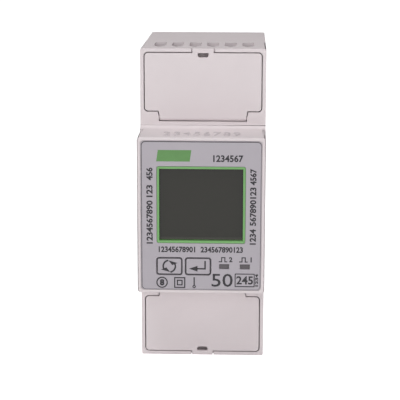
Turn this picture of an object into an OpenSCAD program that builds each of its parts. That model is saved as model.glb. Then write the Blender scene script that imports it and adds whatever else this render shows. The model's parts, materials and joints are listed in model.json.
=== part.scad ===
// Two-module DIN rail energy meter with sealable terminal flaps.
// The origin is the middle of the rail seat: X runs across the meter,
// +Y towards the panel and +Z up. Sizes are in millimetres.
// "Depth" is always counted from the terminal plane, the flat front above and below the nose.

/* [Body] */
// Overall width, two modules
body_w = 35.6; // [35.2:0.1:38]
// Overall height
body_h = 90; // [89:0.5:96]
// Depth of the terminal plane in front of the rail seat
front_depth = 44; // [44:0.5:48]
// How far the back reaches behind the rail seat
back_depth = 6; // [5.8:0.1:7]
// How far the nose stands in front of the terminal plane
nose_depth = 14.6; // [14:0.1:18]
// Height of the nose at its root
nose_h = 44.8; // [44.6:0.1:45.6]
// Draft of the nose, top and bottom
nose_draft = 0.3; // [0.2:0.05:0.9]
// Corner radius of the body seen from the front
corner_r = 0.6; // [0.3:0.1:0.9]
// Corner radius of the nose seen from the front
nose_corner_r = 1.0; // [0.5:0.1:1.2]
// Rounding of the nose's front edges
nose_edge_r = 0.5; // [0.2:0.05:0.6]
// Radius of the hollow at the nose's root
nose_root_r = 1.5; // [0.8:0.1:1.5]
// Thickness of the side walls
side_wall = 1.25; // [1.1:0.05:1.35]
// Thickness of the top and bottom walls
end_wall = 1.6; // [1.4:0.05:1.8]
// Thickness of the nose's front wall
face_wall = 1.5; // [1.3:0.05:1.7]
// Depth at which the front and rear shells part
split_depth = 20; // [19.2:0.2:21]

/* [Rail] */
// Width of the rail that the meter hangs on
rail_w = 35; // [35:0.1:35.4]
// Thickness of the rail's flanges
rail_t = 1.0; // [0.9:0.1:1.3]
// Play between the rail and the seat
rail_play = 0.2; // [0.1:0.05:0.3]
// How far the hooks reach over the rail's flanges
hook_grip = 2.3; // [1.8:0.1:2.6]
// Width of the rail clip
clip_w = 12; // [10:0.5:13]
// Thickness of the rail clip
clip_t = 2.0; // [1.8:0.1:2.2]
// Travel of the rail clip when it is pulled down
clip_travel = 3.5; // [3:0.1:3.8]
// Play around the rail clip
clip_play = 0.2; // [0.15:0.05:0.3]
// Wire thickness of the clip's spring
spring_wire = 0.5; // [0.4:0.05:0.6]
// Outer diameter of the clip's spring
spring_d = 3.2; // [2.8:0.1:3.4]
// Turns of the clip's spring
spring_turns = 6; // [5:1:7]

/* [Terminal flaps] */
// Thickness of a flap
flap_t = 1.4; // [1.2:0.1:1.6]
// Gap around a flap
flap_gap = 0.3; // [0.25:0.05:0.4]
// Width of the rim beside a flap
flap_side = 1.3; // [1.2:0.05:1.5]
// Distance from the end of the body to the flap's free edge
flap_margin = 1.3; // [1.2:0.1:1.5]
// Distance from the nose's root to the flap's wide part
flap_rise = 4.9; // [4.8:0.1:5.4]
// Corner radius of a flap
flap_r = 0.95; // [0.5:0.05:1.2]
// How far the flap's wide part stands out beside its hinge tongue
tongue_step = 3.9; // [3.6:0.1:4.2]
// How much narrower the tongue is at its barrel
tongue_taper = 0.8; // [0.4:0.1:1.2]
// Distance from the flap's wide part to its hinge axis
hinge_drop = 2.0; // [1.9:0.05:2.1]
// Radius of the hinge barrel
barrel_r = 0.9; // [0.8:0.05:0.95]
// Diameter of the hinge pins
hinge_pin_d = 1.0; // [0.8:0.05:1.1]
// Length of a hinge pin outside the barrel
hinge_pin_len = 1.1; // [0.9:0.1:1.2]
// Radial clearance of the hinge pins
pin_fit = 0.05; // [0.03:0.01:0.08]
// Width of the pull tab
tab_w = 6.0; // [5:0.2:8]
// Width of the seal slot
seal_slot_w = 3.1; // [2.4:0.1:3.4]
// How much narrower the seal slot is on its side away from the edge
seal_slot_taper = 0.7; // [0.4:0.1:1]
// Height of the seal slot
seal_slot_h = 1.25; // [1:0.05:1.4]
// Depth of the floor behind the flaps
floor_depth = 3.0; // [2.9:0.1:3.2]
// Thickness of the floor behind the flaps
floor_t = 1.2; // [1:0.1:1.3]

/* [Display and keys] */
// Rim of the nose beside the front film
film_side = 1.1; // [0.9:0.05:1.4]
// Rim of the nose above and below the front film
film_end = 1.0; // [0.7:0.05:1.2]
// Thickness of the front film
film_t = 0.3; // [0.2:0.05:0.4]
// Gap around the front film
film_gap = 0.15; // [0.1:0.05:0.2]
// Film beside the display frame
window_side = 4.45; // [4.3:0.05:5]
// Film above the display frame
window_top = 7.15; // [6.6:0.05:8]
// Film below the display frame
window_bottom = 13.45; // [13:0.05:14]
// Width of the display frame's visible rim
window_rim = 0.62; // [0.5:0.02:0.8]
// Corner radius of the display frame
frame_r = 0.5; // [0.3:0.1:0.7]
// Depth of the display's glass behind the nose's front
glass_depth = 1.2; // [1:0.1:1.6]
// Width kept for the pulse lights beside the keys
light_room = 9.6; // [9.4:0.1:10.4]
// Distance between the two keys
key_spacing = 1.1; // [1.05:0.05:1.6]
// Height of a key
key_h = 4.7; // [4:0.1:4.8]
// Corner radius of a key
key_r = 0.6; // [0.3:0.1:0.9]
// Height of the keys' centre above the film's lower edge
key_rise = 6.75; // [6.5:0.05:6.9]
// Travel of the keys
key_travel = 0.5; // [0.3:0.05:0.6]
// Gap around the keys
key_gap = 0.15; // [0.12:0.01:0.18]
// Width of a pulse light
led_w = 2.6; // [2:0.1:2.8]
// Height of a pulse light
led_h = 1.2; // [1:0.1:1.4]
// Distance between the pulse lights
led_spacing = 5.77; // [5.5:0.01:6]

/* [Power terminals] */
// Number of power terminals
mains_count = 4; // [4:1:4]
// Partition between two power clamps
mains_partition = 0.7; // [0.6:0.05:0.9]
// Outer wall beside the power clamps
mains_side = 0.4; // [0.3:0.05:0.6]
// Play around the power clamps
mains_play = 0.2; // [0.15:0.05:0.25]
// Height of a power clamp's cage
mains_cage_h = 10; // [9:0.1:10.2]
// Distance from the bottom of the body to the power screws
mains_screw_z = 8.6; // [8.4:0.1:9]
// How much narrower than its cage a power screw's head is
mains_head_step = 0.9; // [0.8:0.1:1.4]
// Share of its head that a power screw's shank is across
mains_shank_share = 0.79; // [0.7:0.01:0.8]
// Travel of a power clamp
mains_travel = 7.5; // [6:0.1:7.6]
// Play beside a busbar inside its cage
bar_play = 0.15; // [0.1:0.05:0.3]
// Thickness of a busbar
bar_t = 2.0; // [1.6:0.1:2.2]
// Free depth for the wire in an open power clamp
mains_wire_gap = 8.0; // [7.8:0.1:8.3]

/* [Signal terminals] */
// Number of signal terminals
aux_count = 6; // [6:1:6]
// Gap between the signal block and the side walls
aux_side = 0.9; // [0.8:0.05:1.1]
// Partition between two signal clamps
aux_partition = 0.68; // [0.6:0.02:0.8]
// Play around the signal clamps
aux_play = 0.2; // [0.15:0.05:0.25]
// Height of a signal clamp's cage
aux_cage_h = 5.0; // [4.6:0.1:5.2]
// Distance from the top of the body to the signal screws
aux_screw_z = 8.4; // [8.3:0.1:8.6]
// How much narrower than its cage a signal screw's head is
aux_head_step = 0.4; // [0.4:0.1:0.6]
// Share of its head that a signal screw's shank is across
aux_shank_share = 0.67; // [0.6:0.01:0.7]
// Travel of a signal clamp
aux_travel = 2.3; // [1.8:0.1:2.3]
// Thickness of a signal contact
contact_t = 0.8; // [0.6:0.05:0.8]
// Free depth for the wire in an open signal clamp
aux_wire_gap = 3.0; // [2.9:0.1:3.2]
// Wall between two wire entries in the top
entry_wall = 1.68; // [1.5:0.05:2]
// Depth at which a wire entry ends
entry_end = 17.2; // [17:0.1:17.6]
// Length of a wire entry's straight part
entry_straight = 8.9; // [8:0.1:9.4]
// Length of a wire entry's pointed lead-in
entry_point = 4.2; // [3.5:0.1:4.4]

/* [Circuit boards] */
// Thickness of the boards
board_t = 1.6; // [1.2:0.1:1.6]
// Gap between a board's edge and the side walls
board_gap = 0.35; // [0.3:0.05:0.5]
// Depth of the display board behind the nose's front wall
display_stack = 5.8; // [5.6:0.1:6]

/* [Hidden] */

$fn = 64;
cut = 1;
sliver = 0.01;

body_grey = [0.83, 0.81, 0.82];
block_grey = [0.72, 0.71, 0.72];
film_grey = [0.68, 0.67, 0.69];
frame_green = [0.42, 0.63, 0.36];
lcd_olive = [0.27, 0.26, 0.23];
board_green = [0.10, 0.35, 0.20];
brass_yellow = [0.78, 0.66, 0.38];
steel_grey = [0.70, 0.71, 0.73];
zinc_grey = [0.78, 0.79, 0.80];
part_black = [0.12, 0.12, 0.13];

inner_w = body_w - 2 * side_wall;
nose_front = -front_depth - nose_depth;
face_back = nose_front + face_wall;
end_z = body_h / 2;
end_inner_z = end_z - end_wall;
split_y = split_depth - front_depth;
seat_wall = 1.6;
floor_back = floor_depth + floor_t;
draft_angle = atan(nose_draft / nose_depth);

flap_w = body_w - 2 * flap_side;
tongue_w = flap_w - 2 * tongue_step;
tongue_tip_w = tongue_w - tongue_taper;
flap_far_z = end_z - flap_margin;
flap_near_z = nose_h / 2 + flap_rise;
flap_h = flap_far_z - flap_near_z;
hinge_z = flap_near_z - hinge_drop;
hinge_y = barrel_r - front_depth;
// Gap that the flap's lower edge needs as it swings past the terminal plane
swing_gap = hinge_drop - sqrt(hinge_drop * hinge_drop - barrel_r * barrel_r) + 0.08;
low_gap = max(flap_gap, swing_gap);

rail_half = rail_w / 2 + rail_play;
hook_y = rail_t + 0.3;
clip_front_y = hook_y;
clip_back_y = clip_front_y + clip_t;
clip_end_z = -end_z + 0.4;
clip_top_z = rail_w / 2 - hook_grip;
spring_y = (clip_front_y + clip_back_y) / 2;
spring_top_z = -rail_half - 6.3;
spring_foot_z = clip_end_z + 8.4;
boss_h = 1.0;
spring_window_w = spring_d + 0.8;

mains_block_w = inner_w - 0.2;
mains_pitch = (mains_block_w - 2 * mains_side + mains_partition) / mains_count;
mains_cage_w = mains_pitch - mains_partition - 2 * mains_play;
mains_head_d = mains_cage_w - mains_head_step;
mains_screw_d = mains_head_d * mains_shank_share;
screw_gap = 0.1;
mains_head_t = 2.6;
mains_head_depth = floor_back + 0.8;
mains_ledge_depth = mains_head_depth + mains_head_t + 0.2;
mains_ledge_t = 1.6;
mains_nut_t = 3.6;
bar_gap = 0.3;
mains_cage_rear_t = 1.8;
mains_cage_side_t = 0.9;
mains_nut_depth = mains_ledge_depth + mains_ledge_t + 0.7 + mains_travel;
bar_depth = mains_nut_depth + mains_nut_t + bar_gap;
mains_cage_inner_end = bar_depth + bar_t + mains_wire_gap;
mains_cage_end = mains_cage_inner_end + mains_cage_rear_t;
mains_z = -end_z + mains_screw_z;
bar_w = mains_cage_w - 2 * mains_cage_side_t - 2 * bar_play;
mains_block_top_z = mains_z + mains_cage_h / 2 + mains_play + 1.4;
mains_block_end = mains_cage_end + 1.2;
mains_entry_w = mains_cage_w - 2 * mains_cage_side_t - 0.1;

aux_block_w = inner_w - 2 * aux_side;
aux_pitch = (aux_block_w - 2 * mains_side) / aux_count;
aux_cage_w = aux_pitch - aux_partition - 2 * aux_play;
aux_head_d = aux_cage_w - aux_head_step;
aux_screw_d = aux_head_d * aux_shank_share;
entry_w = aux_pitch - entry_wall;
aux_head_t = 1.2;
aux_head_depth = floor_back + 0.3;
aux_ledge_depth = aux_head_depth + aux_head_t + 0.1;
aux_ledge_t = 0.6;
aux_nut_t = 1.8;
aux_cage_rear_t = 0.8;
aux_cage_side_t = 0.55;
aux_nut_depth = aux_ledge_depth + aux_ledge_t + 0.3 + aux_travel;
contact_depth = aux_nut_depth + aux_nut_t + bar_gap;
aux_cage_inner_end = contact_depth + contact_t + aux_wire_gap;
aux_cage_end = aux_cage_inner_end + aux_cage_rear_t;
aux_z = end_z - aux_screw_z;
aux_block_end = entry_end + 1.2;
aux_block_bottom_z = aux_z - aux_cage_h / 2 - aux_play - 2.4;
aux_funnel_z = end_z - 3.0;
contact_w = aux_cage_w - 2 * aux_cage_side_t - 2 * bar_play;

main_board_depth = bar_depth + bar_t;
main_board_y = main_board_depth - front_depth;
main_board_bottom_z = mains_block_top_z + 1.4;
main_board_top_z = end_inner_z - 0.5;
board_w = inner_w - 2 * board_gap;
display_board_y = face_back + display_stack;
display_board_h = nose_h - 2 * nose_draft - 4.4;
boss_r = 1.45;
boss_x = inner_w / 2 - boss_r - 0.45;
boss_z = display_board_h / 2 - 1.8;
board_screw_d = 1.5;

film_w = body_w - 2 * film_side;
film_h = nose_h - 2 * nose_draft - 2 * film_end;
window_w = film_w - 2 * window_side;
window_h = film_h - window_top - window_bottom;
window_z = (window_bottom - window_top) / 2;
opening_w = window_w - 2 * window_rim;
opening_h = window_h - 2 * window_rim;
key_w = (window_w - key_spacing - light_room) / 2;
scroll_key_x = (key_w - window_w) / 2;
enter_key_x = scroll_key_x + key_w + key_spacing;
key_z = key_rise - film_h / 2;
led_1_x = window_w / 2;
led_2_x = led_1_x - led_spacing;

frame_flange = 1.0;
frame_flange_t = 0.8;
glass_y = face_back + frame_flange_t;
glass_t = 2.0;
glass_w = window_w + 1.2;
glass_top_z = window_z + window_h / 2 + 0.6;
glass_bottom_z = window_z - window_h / 2 - 2.2;
backlight_y = glass_y + glass_t;
strip_h = 1.5;

key_flange = 0.45;
key_flange_t = 0.8;
key_flange_y = face_back + 0.1;
switch_size = key_w - 0.9;
switch_t = 3.0;
switch_y = display_board_y - switch_t;
plunger_d = switch_size / 2;
plunger_y = switch_y - 0.8;

hook_w = 4;
hook_len = 7;
hook_window = 2.5;
hook_root = main_board_depth - split_depth - 0.3;
hook_z = -mains_block_top_z - 4.2;

bar_pad_z = mains_block_top_z + 0.8;
bar_top_z = bar_pad_z + 4.2;
parts_low_z = bar_top_z + 0.8;
opto_z = aux_block_bottom_z - 6;
parts_high_z = opto_z - 3.2;
header_x = 0.6;
header_z = 5.9 - display_board_h / 2;
parts_left_x = -inner_w / 2;
parts_right_x = inner_w / 2;
film_cap_x = parts_left_x + 1.35;
film_cap_w = 6;
film_cap_t = 11;

function mains_x(i) = (i - (mains_count + 1) / 2) * mains_pitch;
function aux_x(i) = (i - (aux_count + 1) / 2) * aux_pitch;
function y_at(depth) = depth - front_depth;

// A drawing in X and Z, carried along Y from one place to another
module along_y(from, to) {
  translate([0, to, 0])
    rotate([90, 0, 0])
      linear_extrude(to - from)
        children();
}

// A drawing in Y and Z, carried along X from one place to another
module along_x(from, to) {
  translate([from, 0, 0])
    rotate([90, 0, 90])
      linear_extrude(to - from)
        children();
}

// A drawing in X and Y, carried along Z from one place to another
module along_z(from, to) {
  translate([0, 0, from])
    linear_extrude(to - from)
      children();
}

// A block between two corners
module block(low, high) {
  translate(low)
    cube(high - low);
}

// A round bar along Y
module rod_y(x, z, d, from, to) {
  translate([x, to, z])
    rotate([90, 0, 0])
      cylinder(d = d, h = to - from);
}

// A round bar along X
module rod_x(y, z, d, from, to) {
  translate([from, y, z])
    rotate([0, 90, 0])
      cylinder(d = d, h = to - from);
}

// A rectangle with round corners, about the origin
module rounded_rect(w, h, r) {
  square([w - 2 * r, h], center = true);
  square([w, h - 2 * r], center = true);
  for (x = [-1, 1], y = [-1, 1])
    translate([x * (w / 2 - r), y * (h / 2 - r)])
      circle(r);
}

// A bar with round corners whose upper side lies along the nose's drafted upper side
module nose_bar() {
  translate([0, -front_depth, nose_h / 2])
    rotate([draft_angle, 0, 0])
      translate([0, 0, -nose_h / 2])
        along_y(-2 * nose_depth, 3 * cut)
          rounded_rect(body_w, nose_h, nose_corner_r);
}

// The nose's outside: drafted above and below, with round corners and front edges
module nose_form() {
  front_z = nose_h / 2 - nose_draft;
  centre = [nose_front + nose_edge_r,
            front_z + nose_edge_r * tan(draft_angle) - nose_edge_r / cos(draft_angle)];
  step = (90 - draft_angle) / 8;
  upper = concat(
    [[-front_depth + cut, nose_h / 2 + cut]],
    [for (a = [0:8]) centre + nose_edge_r * [cos(180 - (8 - a) * step), sin(180 - (8 - a) * step)]]);
  lower = [for (k = [len(upper) - 1:-1:0]) [upper[k][0], -upper[k][1]]];
  intersection() {
    nose_bar();
    mirror([0, 0, 1])
      nose_bar();
    along_z(-nose_h, nose_h)
      translate([0, nose_front + nose_h / 2])
        rounded_rect(body_w, nose_h, nose_edge_r);
    along_x(-body_w, body_w)
      polygon(concat(upper, lower));
  }
}

// The hollow rounding between the nose's upper side and the terminal plane
module nose_root() {
  root_z = nose_h / 2;
  low_z = root_z - nose_corner_r - nose_draft;
  centre = [-front_depth - nose_root_r, root_z + nose_root_r * (1 - tan(draft_angle))];
  along_x(-body_w / 2, body_w / 2)
    polygon(concat(
      [for (a = [0:9:90]) centre + nose_root_r * [cos(a), -sin(a)]],
      [[-front_depth - nose_root_r, low_z],
       [-front_depth + sliver, low_z],
       [-front_depth + sliver, root_z + nose_root_r]]));
}

// One flap seen from the front, from its free edge down to the hinge
module flap_outline(grow = 0) {
  middle_z = (flap_far_z + flap_near_z) / 2;
  translate([0, middle_z])
    rounded_rect(flap_w + 2 * grow, flap_h + 2 * grow, flap_r + grow);
  polygon([
    [-tongue_w / 2 - grow, flap_near_z + flap_r],
    [tongue_w / 2 + grow, flap_near_z + flap_r],
    [tongue_w / 2 + grow, flap_near_z],
    [tongue_tip_w / 2 + grow, hinge_z],
    [-tongue_tip_w / 2 - grow, hinge_z],
    [-tongue_w / 2 - grow, flap_near_z]]);
}

// Room that the flap, its tongue and its barrel take in the front shell
module flap_pocket() {
  front = -front_depth - cut;
  floor_y = y_at(floor_depth);
  barrel_room = barrel_r + flap_gap / 2;
  along_y(front, floor_y)
    translate([0, (flap_far_z + flap_gap + flap_near_z - low_gap) / 2])
      rounded_rect(flap_w + 2 * flap_gap, flap_h + flap_gap + low_gap, flap_r + flap_gap);
  along_y(front, hinge_y + barrel_room)
    flap_outline(flap_gap);
  rod_x(hinge_y, hinge_z, 2 * barrel_room, -tongue_tip_w / 2 - flap_gap, tongue_tip_w / 2 + flap_gap);
  block([-tongue_tip_w / 2 - flap_gap, front, hinge_z - barrel_room],
        [tongue_tip_w / 2 + flap_gap, hinge_y, hinge_z]);
  block([-tab_w / 2 - flap_gap, front, flap_far_z - cut],
        [tab_w / 2 + flap_gap, y_at(flap_t + flap_gap), end_z + cut]);
  pin_reach = tongue_tip_w / 2 + hinge_pin_len + flap_gap / 2;
  rod_x(hinge_y, hinge_z, hinge_pin_d + 2 * pin_fit, -pin_reach, pin_reach);
}

// One terminal flap in its upper place
module flap() {
  front = -front_depth;
  difference() {
    union() {
      along_y(front, y_at(flap_t))
        flap_outline();
      rod_x(hinge_y, hinge_z, 2 * barrel_r, -tongue_tip_w / 2, tongue_tip_w / 2);
      block([-tab_w / 2, front, flap_far_z - flap_r], [tab_w / 2, y_at(flap_t), end_z]);
      flap_ribs();
      for (side = [-1, 1])
        rod_y(side * flap_w / 2, (flap_far_z + flap_near_z) / 2, flap_gap, front, y_at(flap_t));
    }
    along_y(front - cut, y_at(flap_t) + cut)
      seal_slot();
    block([-tab_w / 2 + 1, y_at(flap_t) - 0.5, flap_far_z + 0.5],
          [tab_w / 2 - 1, y_at(flap_t) + cut, end_z + cut]);
  }
  pin_reach = tongue_tip_w / 2 + hinge_pin_len;
  rod_x(hinge_y, hinge_z, hinge_pin_d, -pin_reach, pin_reach);
}

// The slot in a flap that takes the seal's wire, narrower away from the edge
module seal_slot() {
  low_z = flap_far_z - seal_slot_h;
  low_x = (seal_slot_w - seal_slot_taper) / 2;
  polygon([
    [-seal_slot_w / 2, flap_far_z],
    [-seal_slot_w / 2, flap_far_z - seal_slot_h / 2],
    [-low_x, low_z],
    [low_x, low_z],
    [seal_slot_w / 2, flap_far_z - seal_slot_h / 2],
    [seal_slot_w / 2, flap_far_z]]);
}

// Stiffening ribs on the inside of a flap
module flap_ribs() {
  rib_t = 0.8;
  rib_end = y_at(flap_t + 0.9);
  low_z = flap_near_z + 1.2;
  high_z = flap_far_z - 2.4;
  for (x = [-11, 11])
    block([x - rib_t / 2, y_at(flap_t) - sliver, low_z], [x + rib_t / 2, rib_end, high_z]);
  block([-11, y_at(flap_t) - sliver, high_z - rib_t], [11, rib_end, high_z]);
}

// A wire entry seen from above: straight, then pointed towards the front
module entry_outline() {
  polygon([
    [-entry_w / 2, y_at(entry_end)],
    [entry_w / 2, y_at(entry_end)],
    [entry_w / 2, y_at(entry_end - entry_straight)],
    [0, y_at(entry_end - entry_straight - entry_point)],
    [-entry_w / 2, y_at(entry_end - entry_straight)]]);
}

// A power wire's entry seen from below
module mains_entry_outline(x) {
  low_y = y_at(bar_depth + bar_t + 0.2);
  high_y = y_at(mains_cage_inner_end - 0.2);
  translate([x, (low_y + high_y) / 2])
    rounded_rect(mains_entry_w, high_y - low_y, 1.2);
}

module front_housing() {
  color(body_grey)
    difference() {
      union() {
        along_y(-front_depth, split_y)
          rounded_rect(body_w, body_h, corner_r);
        nose_form();
        nose_root();
        mirror([0, 0, 1])
          nose_root();
      }
      front_cavity();
      flap_pocket();
      mirror([0, 0, 1])
        flap_pocket();
      film_recess();
      face_openings();
      for (i = [1:aux_count])
        rod_y(aux_x(i), aux_z, aux_head_d + 0.4, y_at(floor_depth) - cut, y_at(floor_back) + cut);
      for (i = [1:mains_count])
        rod_y(mains_x(i), mains_z, mains_head_d + 0.5, y_at(floor_depth) - cut, y_at(floor_back) + cut);
      for (i = [1:aux_count])
        translate([aux_x(i), 0])
          along_z(end_inner_z - cut, end_z + cut)
            entry_outline();
      snap_windows();
    }
  color(body_grey)
    difference() {
      front_bosses();
      for (x = [-1, 1], z = [-1, 1])
        rod_y(x * boss_x, z * boss_z, board_screw_d, face_back + 1, display_board_y + cut);
    }
  color(body_grey)
    board_stops();
}

// The hollow of the front shell: the nose and the two terminal rooms
module front_cavity() {
  room_z = display_board_h / 2 + 1.8 - face_wall;
  block([-inner_w / 2, face_back, -room_z], [inner_w / 2, split_y + cut, room_z]);
  block([-inner_w / 2, y_at(floor_back), -end_inner_z], [inner_w / 2, split_y + cut, end_inner_z]);
}

// The shallow seat of the film in the nose's front
module film_recess() {
  along_y(nose_front - cut, nose_front + film_t)
    rounded_rect(film_w + 2 * film_gap, film_h + 2 * film_gap, 1);
}

// Openings for the display, the keys and the pulse lights
module face_outline(grow) {
  translate([0, window_z])
    rounded_rect(window_w + 2 * grow, window_h + 2 * grow, frame_r + grow);
  for (x = [scroll_key_x, enter_key_x])
    translate([x, key_z])
      rounded_rect(key_w + 2 * key_gap, key_h + 2 * key_gap, key_r + key_gap);
  for (x = [led_1_x, led_2_x])
    translate([x, key_z])
      square([led_w + 2 * grow, led_h + 2 * grow], center = true);
}

module face_openings() {
  along_y(nose_front - cut, face_back + cut)
    face_outline(0.1);
}

// Posts in the nose that carry the display board
module front_bosses() {
  for (x = [-1, 1], z = [-1, 1])
    rod_y(x * boss_x, z * boss_z, 2 * boss_r, face_back - sliver, display_board_y);
}

// Ribs of the front shell that hold the main board down
module board_stops() {
  for (x = [-1, 1], z = [-9, 9])
    block([x * (inner_w / 2 - 0.5) - 0.5, y_at(floor_back), z - 1.2],
          [x * (inner_w / 2 - 0.5) + 0.5, main_board_y, z + 1.2]);
}

// Windows in the front shell's sides where the rear shell's hooks catch
module snap_windows() {
  for (x = [-1, 1], z = [-1, 1])
    translate([x * body_w / 2, split_y - hook_len + hook_window / 2 + 0.1, z * hook_z])
      cube([2 * side_wall + cut, hook_window, hook_w + 0.4], center = true);
}

// The rear shell's snap hooks
module snap_hooks() {
  outer = inner_w / 2 - 0.1;
  for (side = [0, 1])
    mirror([side, 0, 0])
      for (z = [-1, 1])
        translate([0, 0, z * hook_z])
          along_z(-hook_w / 2, hook_w / 2)
            polygon([
              [outer - 1.1, split_y + hook_root],
              [outer - 1.1, split_y - hook_len],
              [outer - 0.2, split_y - hook_len],
              [outer + 0.7, split_y - hook_len + 0.9],
              [outer + 0.7, split_y - hook_len + 2.3],
              [outer, split_y - hook_len + 2.3],
              [outer, split_y],
              [outer + 0.1 + sliver, split_y],
              [outer + 0.1 + sliver, split_y + hook_root]]);
}

module base_housing() {
  color(body_grey)
    difference() {
      along_y(split_y, back_depth)
        rounded_rect(body_w, body_h, corner_r);
      base_cavity();
      rail_channel();
      clip_guide();
      for (i = [1:mains_count])
        along_z(-end_z - cut, -end_inner_z + cut)
          mains_entry_outline(mains_x(i));
    }
  color(body_grey)
    upper_hook();
  color(body_grey)
    snap_hooks();
  color(body_grey)
    base_ribs();
  color(body_grey)
    spring_boss();
}

// The hollow of the rear shell, with cored pockets beside the clip guide
module base_cavity() {
  front = split_y - cut;
  rear = back_depth - end_wall;
  top_room_z = rail_half + end_wall;
  pocket_x = clip_w / 2 + clip_play + 1.4;
  block([-inner_w / 2, front, -end_inner_z], [inner_w / 2, -seat_wall, end_inner_z]);
  block([-inner_w / 2, front, top_room_z], [inner_w / 2, rear, end_inner_z]);
  for (side = [0, 1])
    mirror([side, 0, 0])
      block([pocket_x, front, -end_inner_z], [inner_w / 2, rear, -top_room_z]);
}

// The channel that takes the rail
module rail_channel() {
  block([-body_w, 0, -rail_half], [body_w, back_depth + cut, rail_half]);
}

// The fixed hook over the rail's upper flange
module upper_hook() {
  along_x(-body_w / 2, body_w / 2)
    polygon([
      [hook_y, rail_half + sliver],
      [hook_y, rail_w / 2 - hook_grip],
      [hook_y + 1, rail_w / 2 - hook_grip],
      [hook_y + 3.2, rail_half + sliver]]);
}

// The guide in which the rail clip slides, open at the bottom, and its windows
module clip_guide() {
  half = clip_w / 2 + clip_play;
  block([-half, clip_front_y - clip_play, -end_z - cut],
        [half, clip_back_y + clip_play, -rail_half + cut]);
  block([-spring_window_w / 2 - 1, clip_back_y, spring_foot_z - 2.4],
        [spring_window_w / 2 + 1, back_depth + cut, spring_top_z + 2]);
  block([-spring_window_w / 2, spring_y - spring_d / 2 - 0.3, spring_foot_z],
        [spring_window_w / 2, clip_back_y, spring_top_z]);
  block([-4, clip_back_y, -end_z - cut], [4, back_depth + cut, -end_z + 4.5]);
}

// The fixed seat of the clip's spring
module spring_boss() {
  block([-spring_window_w / 2 + 0.4, clip_front_y - clip_play - sliver, spring_foot_z - boss_h],
        [spring_window_w / 2 - 0.4, clip_back_y, spring_foot_z]);
}

// Ribs of the rear shell behind the main board and behind the power clamps
module base_ribs() {
  board_back = main_board_y + board_t;
  for (x = [-1, 1], z = [-20, 0, 20])
    block([x * (inner_w / 2 - 0.9) - 0.9 - sliver, board_back, z - 0.7],
          [x * (inner_w / 2 - 0.9) + 0.9 + sliver, -seat_wall + sliver, z + 0.7]);
  for (x = [-2, 0, 2])
    block([x * mains_pitch - 0.6, y_at(mains_block_end), -end_inner_z - sliver],
          [x * mains_pitch + 0.6, -seat_wall + sliver, mains_block_top_z]);
}

module front_film() {
  color(film_grey)
    along_y(nose_front, nose_front + film_t)
      difference() {
        rounded_rect(film_w, film_h, 1);
        face_outline(0.1);
      }
}

module display_frame() {
  color(frame_green)
    difference() {
      union() {
        along_y(nose_front, glass_y)
          translate([0, window_z])
            rounded_rect(window_w, window_h, frame_r);
        along_y(face_back, glass_y)
          translate([0, window_z])
            square([window_w + 2 * frame_flange, window_h + 2 * frame_flange], center = true);
      }
      along_y(nose_front - cut, glass_y + cut)
        translate([0, window_z])
          square([opening_w, opening_h], center = true);
    }
}

// The display's glass, with a raised window that stands in the frame
module lcd_glass() {
  play = 0.1;
  color(lcd_olive) {
    block([-glass_w / 2, glass_y, glass_bottom_z], [glass_w / 2, backlight_y, glass_top_z]);
    along_y(nose_front + glass_depth, glass_y + sliver)
      translate([0, window_z])
        square([opening_w - 2 * play, opening_h - 2 * play], center = true);
  }
}

module lcd_backlight() {
  bottom_z = glass_bottom_z + strip_h + 0.6;
  color("white")
    block([-glass_w / 2, backlight_y, bottom_z], [glass_w / 2, display_board_y, glass_top_z]);
}

module contact_strip() {
  color(part_black)
    block([-glass_w / 2 + 1, backlight_y, glass_bottom_z + 0.2],
          [glass_w / 2 - 1, display_board_y, glass_bottom_z + 0.2 + strip_h]);
}

module display_board() {
  color(board_green)
    along_y(display_board_y, display_board_y + board_t)
      difference() {
        square([board_w, display_board_h], center = true);
        for (x = [-1, 1], z = [-1, 1])
          translate([x * boss_x, z * boss_z])
            circle(d = board_screw_d + 0.3);
      }
}

module display_screws() {
  head_y = display_board_y + board_t;
  color(steel_grey)
    for (x = [-1, 1], z = [-1, 1]) {
      rod_y(x * boss_x, z * boss_z, 2.6, head_y, head_y + 1);
      rod_y(x * boss_x, z * boss_z, board_screw_d - 0.1, head_y - board_t - 3, head_y + 0.5);
    }
}

// A key cap with the flange that keeps it behind the face, and its stem
module key_cap(x) {
  color(film_grey)
    translate([x, 0, key_z]) {
      along_y(nose_front, key_flange_y + key_flange_t)
        rounded_rect(key_w, key_h, key_r);
      along_y(key_flange_y, key_flange_y + key_flange_t)
        rounded_rect(key_w + 2 * key_flange, key_h + 2 * key_flange, key_r);
      rod_y(0, 0, plunger_d - 0.4, key_flange_y, plunger_y);
    }
}

// The moving plunger of a key's switch
module switch_plunger(x) {
  color(part_black)
    rod_y(x, key_z, plunger_d, plunger_y, display_board_y - 1.1);
}

// The fixed body of a key's switch
module switch_body(x) {
  color(steel_grey)
    difference() {
      block([x - switch_size / 2, switch_y, key_z - switch_size / 2],
            [x + switch_size / 2, display_board_y, key_z + switch_size / 2]);
      rod_y(x, key_z, plunger_d + 0.3, switch_y - cut, display_board_y - 0.4);
    }
}

// A pulse light: a light guide that ends in the film, on its base on the board
module pulse_led(x) {
  color([0.30, 0.27, 0.28])
    translate([x, 0, key_z]) {
      along_y(nose_front, display_board_y - 1)
        square([led_w, led_h], center = true);
      along_y(display_board_y - 2.6, display_board_y)
        square([led_w + 0.8, led_h + 1], center = true);
    }
}

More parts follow.
